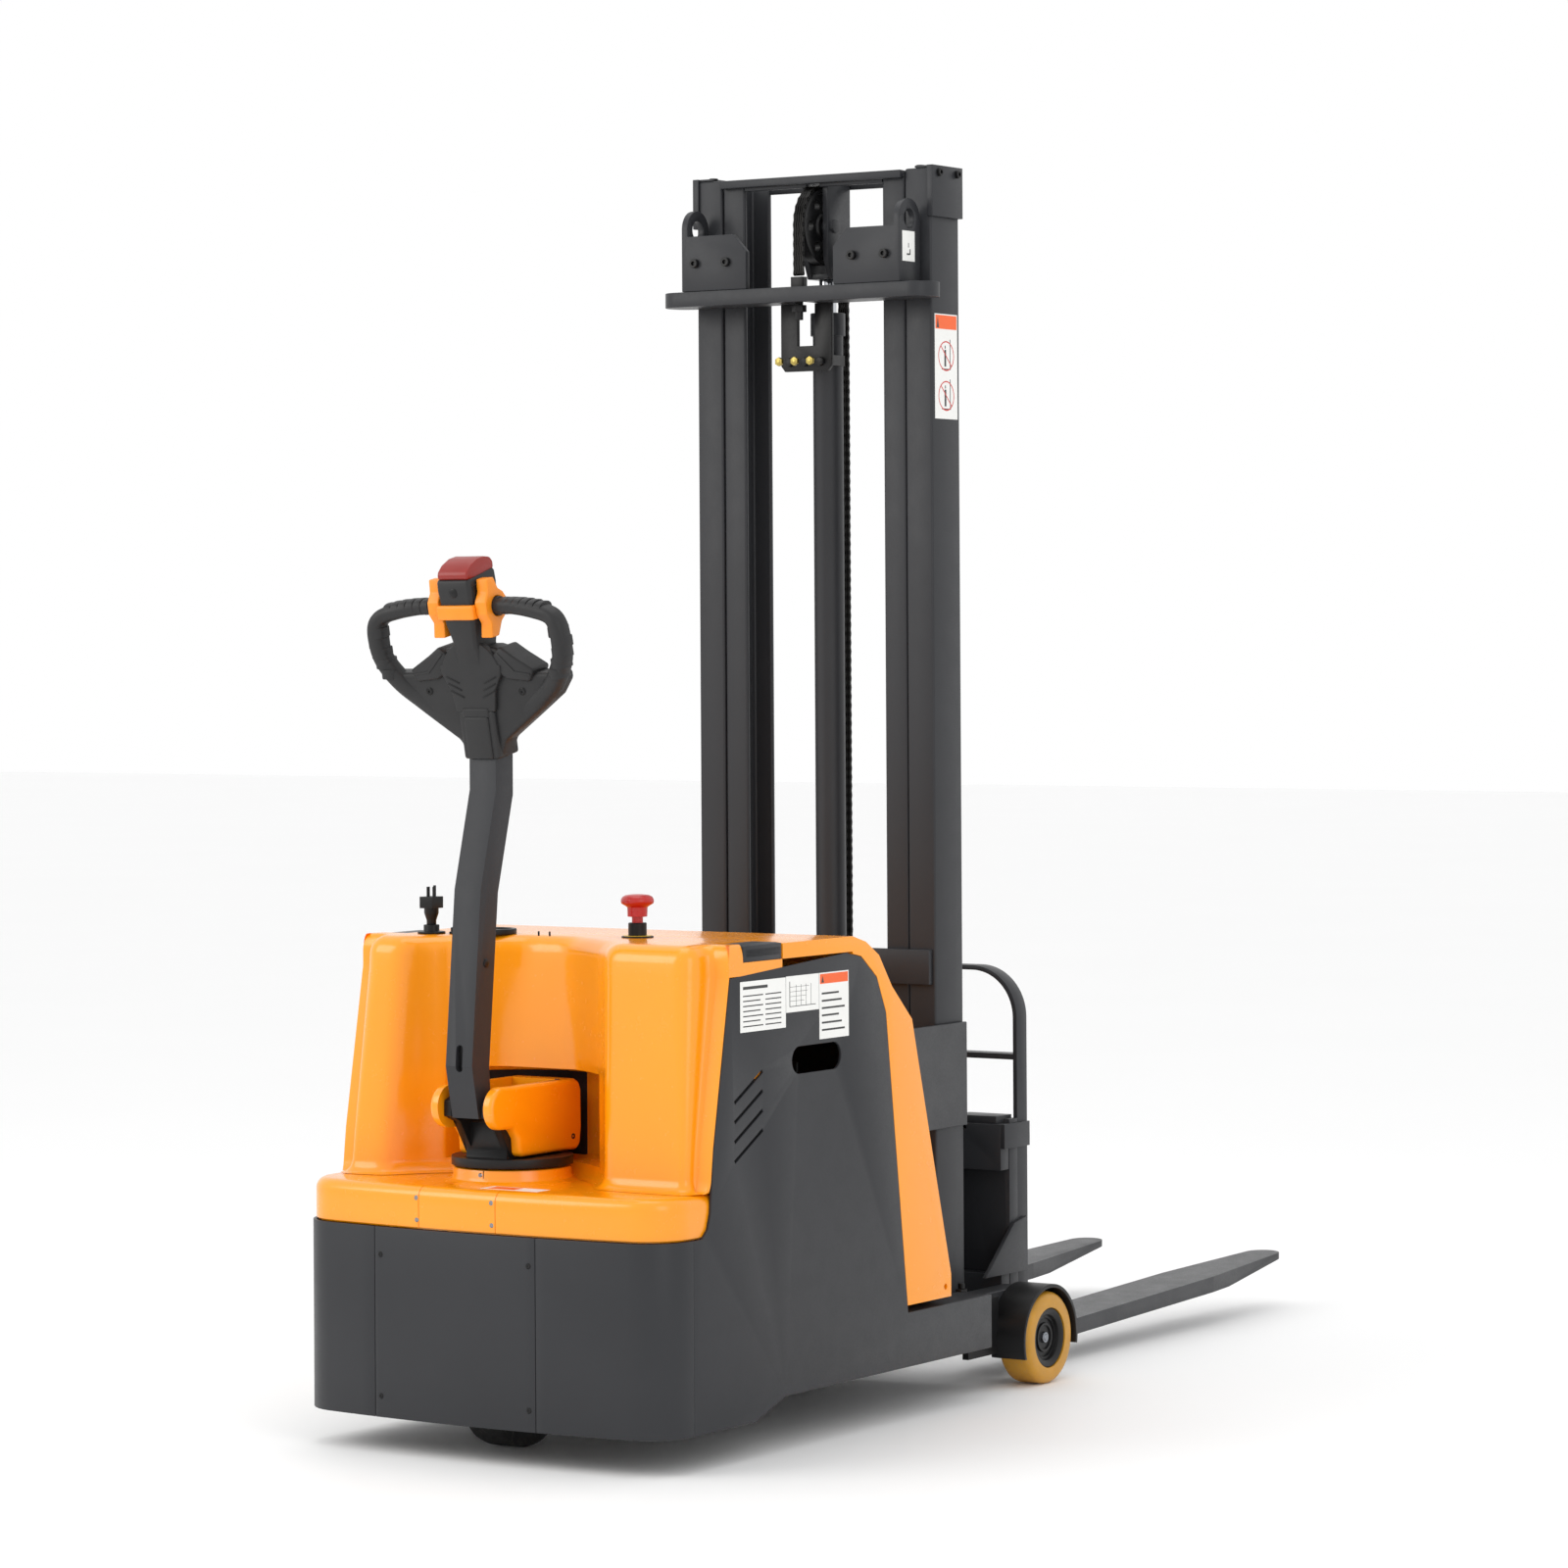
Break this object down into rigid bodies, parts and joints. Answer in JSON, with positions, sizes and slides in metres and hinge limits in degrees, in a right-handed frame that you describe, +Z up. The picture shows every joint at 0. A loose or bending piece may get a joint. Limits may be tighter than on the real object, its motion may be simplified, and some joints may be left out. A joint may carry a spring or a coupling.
{
  "type": "walkie stacker",
  "caption": "Electric counterbalanced walkie stacker with a two-stage mast, chain-lifted fork carriage, load backrest, steered drive wheel and a tilting tiller handle.",
  "frame": {"origin": "on the floor, under the middle of the machine's length and width", "axes": "+X forwards along the forks, +Y to the operator's left, +Z up"},
  "size_m": [2.331, 0.7284, 2.112],
  "materials": {
    "frame_paint": "satin powder coat over steel",
    "amber_cover": "glossy moulded cover",
    "black_plastic": "fine moulded texture",
    "black_steel": "satin black paint",
    "amber_plastic": "semi-gloss moulding",
    "red_plastic": "semi-gloss moulding",
    "bright_steel": "machined",
    "chrome_rod": "hard chrome",
    "cast_iron": "rough cast",
    "battery_case": "ribbed case",
    "zinc_steel": "yellow zinc plated",
    "chain_steel": "oiled roller chain",
    "polyurethane": "cast polyurethane",
    "rubber_tread": "black rubber",
    "hub_black": "painted",
    "label_white": "printed film without text"
  },
  "bodies": {
    "chassis": {"chassis_frame": "frame_paint", "side_panel_right": "frame_paint", "side_panel_left": "frame_paint", "rear_corners": "frame_paint", "rear_access_panel": "frame_paint", "hood": "amber_cover", "bumper_ledge": "amber_cover", "ledge_centre_cover": "amber_cover", "front_cover": "amber_cover", "counterweight": "cast_iron", "battery": "battery_case", "hydraulic_pump_unit": "black_steel", "power_electronics": "black_plastic", "hydraulic_pipe": "black_steel", "mast_channels": "frame_paint", "mast_cross_ties": "frame_paint", "lifting_brackets": "frame_paint", "mast_caps": "frame_paint", "mast_stays": "frame_paint", "fasteners": "black_steel", "cylinder_barrel": "black_steel", "cylinder_clamp": "black_steel", "chain_rear_strand": "chain_steel", "wheel_brackets": "black_steel", "label_plates": "label_white", "estop_base": "black_plastic", "key_switch": "black_plastic", "charge_gauge": "black_plastic", "plug_holder": "black_plastic"},
    "inner_mast": {"inner_channels": "frame_paint", "inner_mast_ties": "frame_paint", "lift_rod": "chrome_rod", "sheave_crosshead": "frame_paint", "chain_front_strand": "chain_steel"},
    "chain_sheave": {"chain_sheave": "chain_steel"},
    "inner_lower_rollers": {"inner_rollers_lower": "bright_steel"},
    "inner_upper_rollers": {"inner_rollers_upper": "bright_steel"},
    "carriage_lower_rollers": {"carriage_rollers_lower": "bright_steel"},
    "carriage_upper_rollers": {"carriage_rollers_upper": "bright_steel"},
    "carriage": {"carriage_frame": "frame_paint", "load_backrest": "frame_paint", "fork_right": "frame_paint", "fork_left": "frame_paint"},
    "load_wheel_right": {"load_tyre_right": "polyurethane", "load_hub_right": "hub_black"},
    "load_wheel_left": {"load_tyre_left": "polyurethane", "load_hub_left": "hub_black"},
    "steering": {"drive_unit": "cast_iron", "tiller_base": "black_steel", "tiller_base_cover": "amber_cover"},
    "drive_wheel": {"drive_wheel": "rubber_tread"},
    "tiller": {"tiller_arm": "frame_paint", "tiller_head": "black_plastic"},
    "throttle": {"throttle_levers": "amber_plastic"},
    "belly_button": {"belly_button": "red_plastic"},
    "horn_button": {"horn_button": "amber_plastic"},
    "lift_rocker": {"lift_rocker": "amber_plastic"},
    "estop_button": {"estop_button": "red_plastic"},
    "key": {"key": "bright_steel"},
    "charger_plug": {"charger_plug": "black_plastic"}
  },
  "joints": [
    {"name": "mast_lift", "type": "slide", "parent": "chassis", "child": "inner_mast", "axis": [0, 0, 1], "range_m": [0, 1.4]},
    {"name": "carriage_lift", "type": "slide", "parent": "inner_mast", "child": "carriage", "axis": [0, 0, 1], "range_m": [0, 1.4], "deforming": ["chain_front_strand"]},
    {"name": "sheave_spin", "type": "hinge", "parent": "inner_mast", "child": "chain_sheave", "pos_m": [-0.118, 0, 2.016], "axis": [0, -1, 0], "range_deg": [0, 1120]},
    {"name": "inner_lower_roll", "type": "hinge", "parent": "inner_mast", "child": "inner_lower_rollers", "pos_m": [-0.1005, 0, 0.215], "axis": [0, -1, 0], "range_deg": [0, 2393]},
    {"name": "inner_upper_roll", "type": "hinge", "parent": "inner_mast", "child": "inner_upper_rollers", "pos_m": [-0.1005, 0, 0.52], "axis": [0, 1, 0], "range_deg": [0, 2393]},
    {"name": "carriage_lower_roll", "type": "hinge", "parent": "carriage", "child": "carriage_lower_rollers", "pos_m": [-0.1005, 0, 0.205], "axis": [0, -1, 0], "range_deg": [0, 2393]},
    {"name": "carriage_upper_roll", "type": "hinge", "parent": "carriage", "child": "carriage_upper_rollers", "pos_m": [-0.1005, 0, 0.44], "axis": [0, 1, 0], "range_deg": [0, 2393]},
    {"name": "load_wheel_right_spin", "type": "hinge", "parent": "chassis", "child": "load_wheel_right", "pos_m": [0.0345, -0.331, 0.08], "axis": [0, 1, 0], "continuous": true},
    {"name": "load_wheel_left_spin", "type": "hinge", "parent": "chassis", "child": "load_wheel_left", "pos_m": [0.0345, 0.331, 0.08], "axis": [0, 1, 0], "continuous": true},
    {"name": "steer", "type": "hinge", "parent": "chassis", "child": "steering", "pos_m": [-0.9835, 0.045, 0.35], "axis": [0, 0, 1], "range_deg": [-65, 65]},
    {"name": "drive_spin", "type": "hinge", "parent": "steering", "child": "drive_wheel", "pos_m": [-0.9835, 0.045, 0.105], "axis": [0, 1, 0], "continuous": true},
    {"name": "tiller_tilt", "type": "hinge", "parent": "steering", "child": "tiller", "pos_m": [-1.0885, 0.045, 0.553], "axis": [0, -1, 0], "range_deg": [0, 75], "stiffness_Nm_per_rad": 22, "springref_deg": -91.67},
    {"name": "throttle_turn", "type": "hinge", "parent": "tiller", "child": "throttle", "pos_m": [-1.09189, 0.045, 1.35192], "axis": [0, 1, 0], "range_deg": [-17, 17], "stiffness_Nm_per_rad": 0.4},
    {"name": "belly_press", "type": "slide", "parent": "tiller", "child": "belly_button", "axis": [0.2079, 0, -0.9781], "range_m": [0, 0.006], "stiffness_N_per_m": 900, "springref_m": -0.004},
    {"name": "horn_press", "type": "slide", "parent": "tiller", "child": "horn_button", "axis": [0.9781, 0, 0.2079], "range_m": [0, 0.003], "stiffness_N_per_m": 400, "springref_m": -0.002},
    {"name": "lift_rock", "type": "hinge", "parent": "tiller", "child": "lift_rocker", "pos_m": [-1.11633, 0.045, 1.31299], "axis": [0, 1, 0], "range_deg": [-6, 6], "stiffness_Nm_per_rad": 0.05},
    {"name": "estop_press", "type": "slide", "parent": "chassis", "child": "estop_button", "axis": [0, 0, -1], "range_m": [0, 0.006]},
    {"name": "key_turn", "type": "hinge", "parent": "chassis", "child": "key", "pos_m": [-0.905, 0.212, 0.82], "axis": [0, 0, 1], "range_deg": [0, 90]},
    {"name": "plug_lift", "type": "slide", "parent": "chassis", "child": "charger_plug", "axis": [0, 0, 1], "range_m": [0, 0.06]}
  ],
  "couplings": [
    {"joint": "carriage_lift", "follows": "mast_lift", "ratio": 1},
    {"joint": "sheave_spin", "follows": "mast_lift", "rad_per_m": 13.889},
    {"joint": "inner_lower_roll", "follows": "mast_lift", "rad_per_m": 29.762},
    {"joint": "inner_upper_roll", "follows": "mast_lift", "rad_per_m": 29.762},
    {"joint": "carriage_lower_roll", "follows": "mast_lift", "rad_per_m": 29.762},
    {"joint": "carriage_upper_roll", "follows": "mast_lift", "rad_per_m": 29.762}
  ]
}
